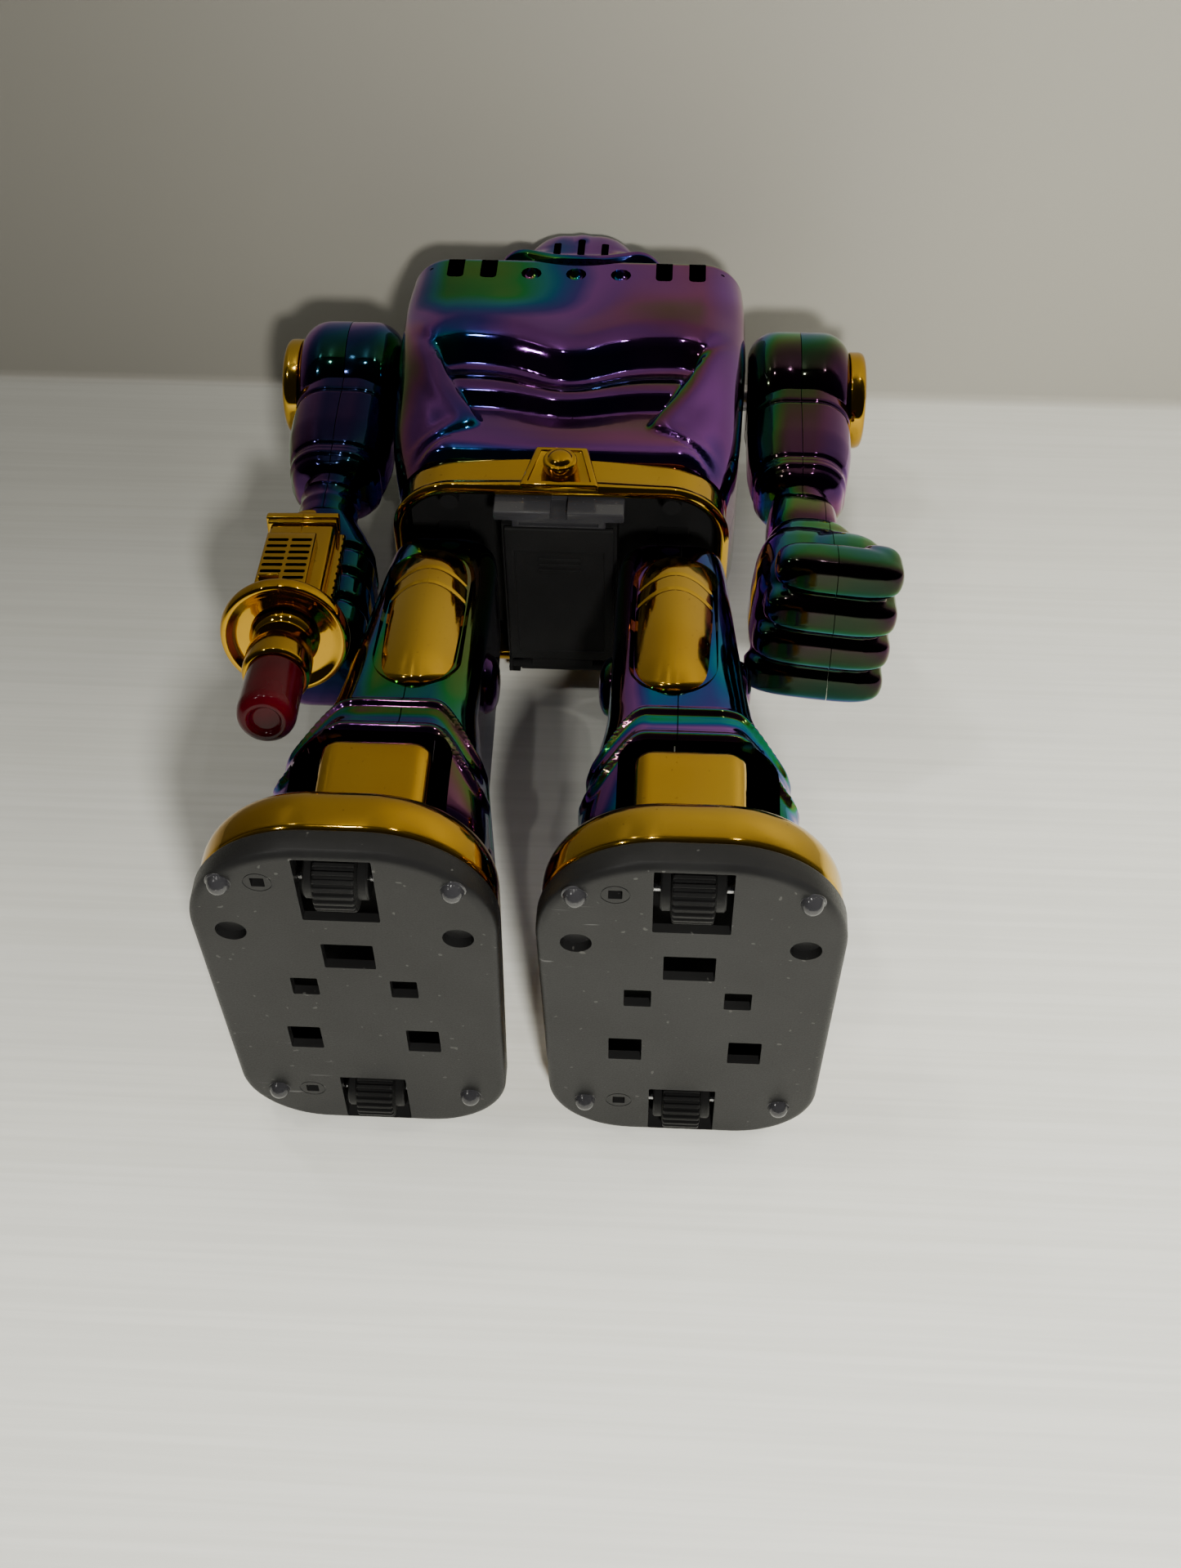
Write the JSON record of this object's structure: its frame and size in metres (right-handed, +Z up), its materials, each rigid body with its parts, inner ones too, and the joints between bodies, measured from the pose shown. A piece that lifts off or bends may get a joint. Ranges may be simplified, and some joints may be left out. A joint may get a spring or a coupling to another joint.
{
  "type": "walking robot toy",
  "caption": "Upright walking robot toy with plated shells, roller shoes, a closed fist and a hand gun on swinging arms.",
  "frame": {"origin": "on the floor, on the robot's middle plane, under the middle of its overall box to within 2 mm", "axes": "+Z up along the standing robot, -Y the way it faces and walks, +X its left hand side"},
  "size_m": [0.182, 0.113, 0.29],
  "materials": {
    "rainbow_plating": "iridescent vacuum plating on moulded plastic, mirror gloss",
    "gold_plating": "gold vacuum plating on moulded plastic, mirror gloss",
    "black_plastic": "fine grained matt black",
    "black_gloss": "moulded gloss black",
    "red_clear": "translucent dark red",
    "steel": "plain turned",
    "grey_plastic": "natural moulded",
    "cell_wrap": "printed film without marks"
  },
  "bodies": {
    "torso": {"chest_shell": "rainbow_plating", "back_shell": "rainbow_plating", "waist_belt": "gold_plating", "belt_buckle": "gold_plating", "buckle_button": "gold_plating", "pelvis_frame": "black_plastic", "battery_latch": "black_gloss", "battery_cells": "cell_wrap", "battery_contacts": "steel", "gearbox_case": "grey_plastic", "motor": "steel", "neck_post": "black_plastic"},
    "battery_door": {"battery_door": "black_plastic"},
    "power_switch": {"power_switch": "black_plastic"},
    "head": {"head_front": "rainbow_plating", "head_back": "rainbow_plating", "head_visor": "black_gloss"},
    "right_arm": {"right_arm_outer": "rainbow_plating", "right_arm_inner": "rainbow_plating", "right_shoulder_disc": "gold_plating", "right_shoulder_axle": "steel", "right_hand": "rainbow_plating", "gun_body": "gold_plating", "gun_guard": "gold_plating", "gun_barrel": "gold_plating", "gun_tip": "red_clear"},
    "left_arm": {"left_arm_outer": "rainbow_plating", "left_arm_inner": "rainbow_plating", "left_shoulder_disc": "gold_plating", "left_shoulder_axle": "steel", "left_fist": "rainbow_plating"},
    "right_leg": {"right_leg_outer": "rainbow_plating", "right_leg_inner": "rainbow_plating", "right_thigh_plate": "gold_plating", "right_hip_pin": "steel", "right_ankle_pin": "steel"},
    "right_foot": {"right_shoe": "gold_plating", "right_ankle_block": "gold_plating", "right_sole": "black_plastic", "right_studs": "black_gloss", "right_axles": "steel"},
    "right_front_wheel": {"right_front_wheel": "black_plastic"},
    "right_rear_wheel": {"right_rear_wheel": "black_plastic"},
    "left_leg": {"left_leg_outer": "rainbow_plating", "left_leg_inner": "rainbow_plating", "left_thigh_plate": "gold_plating", "left_hip_pin": "steel", "left_ankle_pin": "steel"},
    "left_foot": {"left_shoe": "gold_plating", "left_ankle_block": "gold_plating", "left_sole": "black_plastic", "left_studs": "black_gloss", "left_axles": "steel"},
    "left_front_wheel": {"left_front_wheel": "black_plastic"},
    "left_rear_wheel": {"left_rear_wheel": "black_plastic"}
  },
  "joints": [
    {"name": "battery_door_hinge", "type": "hinge", "parent": "torso", "child": "battery_door", "pos_m": [0, 0.0468, 0.1526], "axis": [1, 0, 0], "range_deg": [0, 75]},
    {"name": "power_switch_slide", "type": "slide", "parent": "torso", "child": "power_switch", "axis": [0, 0, 1], "range_m": [0, 0.006]},
    {"name": "head_turn", "type": "hinge", "parent": "torso", "child": "head", "pos_m": [0, 0.012, 0.262], "axis": [0, 0, 1], "range_deg": [-60, 60]},
    {"name": "right_shoulder_swing", "type": "hinge", "parent": "torso", "child": "right_arm", "pos_m": [-0.0682, 0.008, 0.23], "axis": [-1, 0, 0], "range_deg": [-20, 100]},
    {"name": "left_shoulder_swing", "type": "hinge", "parent": "torso", "child": "left_arm", "pos_m": [0.0682, 0.008, 0.23], "axis": [-1, 0, 0], "range_deg": [-20, 100]},
    {"name": "right_hip_swing", "type": "hinge", "parent": "torso", "child": "right_leg", "pos_m": [-0.0316, 0.013, 0.144], "axis": [-1, 0, 0], "range_deg": [-8, 8]},
    {"name": "left_hip_swing", "type": "hinge", "parent": "torso", "child": "left_leg", "pos_m": [0.0316, 0.013, 0.144], "axis": [-1, 0, 0], "range_deg": [-8, 8]},
    {"name": "right_ankle_swing", "type": "hinge", "parent": "right_leg", "child": "right_foot", "pos_m": [-0.0373, 0.005, 0.042], "axis": [-1, 0, 0], "range_deg": [-8, 8]},
    {"name": "left_ankle_swing", "type": "hinge", "parent": "left_leg", "child": "left_foot", "pos_m": [0.0373, 0.005, 0.042], "axis": [-1, 0, 0], "range_deg": [-8, 8]},
    {"name": "right_front_wheel_spin", "type": "hinge", "parent": "right_foot", "child": "right_front_wheel", "pos_m": [-0.038, -0.0436, 0.008], "axis": [1, 0, 0], "continuous": true},
    {"name": "right_rear_wheel_spin", "type": "hinge", "parent": "right_foot", "child": "right_rear_wheel", "pos_m": [-0.038, 0.0462, 0.008], "axis": [1, 0, 0], "continuous": true},
    {"name": "left_front_wheel_spin", "type": "hinge", "parent": "left_foot", "child": "left_front_wheel", "pos_m": [0.038, -0.0436, 0.008], "axis": [1, 0, 0], "continuous": true},
    {"name": "left_rear_wheel_spin", "type": "hinge", "parent": "left_foot", "child": "left_rear_wheel", "pos_m": [0.038, 0.0462, 0.008], "axis": [1, 0, 0], "continuous": true}
  ],
  "couplings": [
    {"joint": "left_hip_swing", "follows": "right_hip_swing", "ratio": -1},
    {"joint": "right_ankle_swing", "follows": "right_hip_swing", "ratio": -1},
    {"joint": "left_ankle_swing", "follows": "right_hip_swing", "ratio": 1}
  ]
}
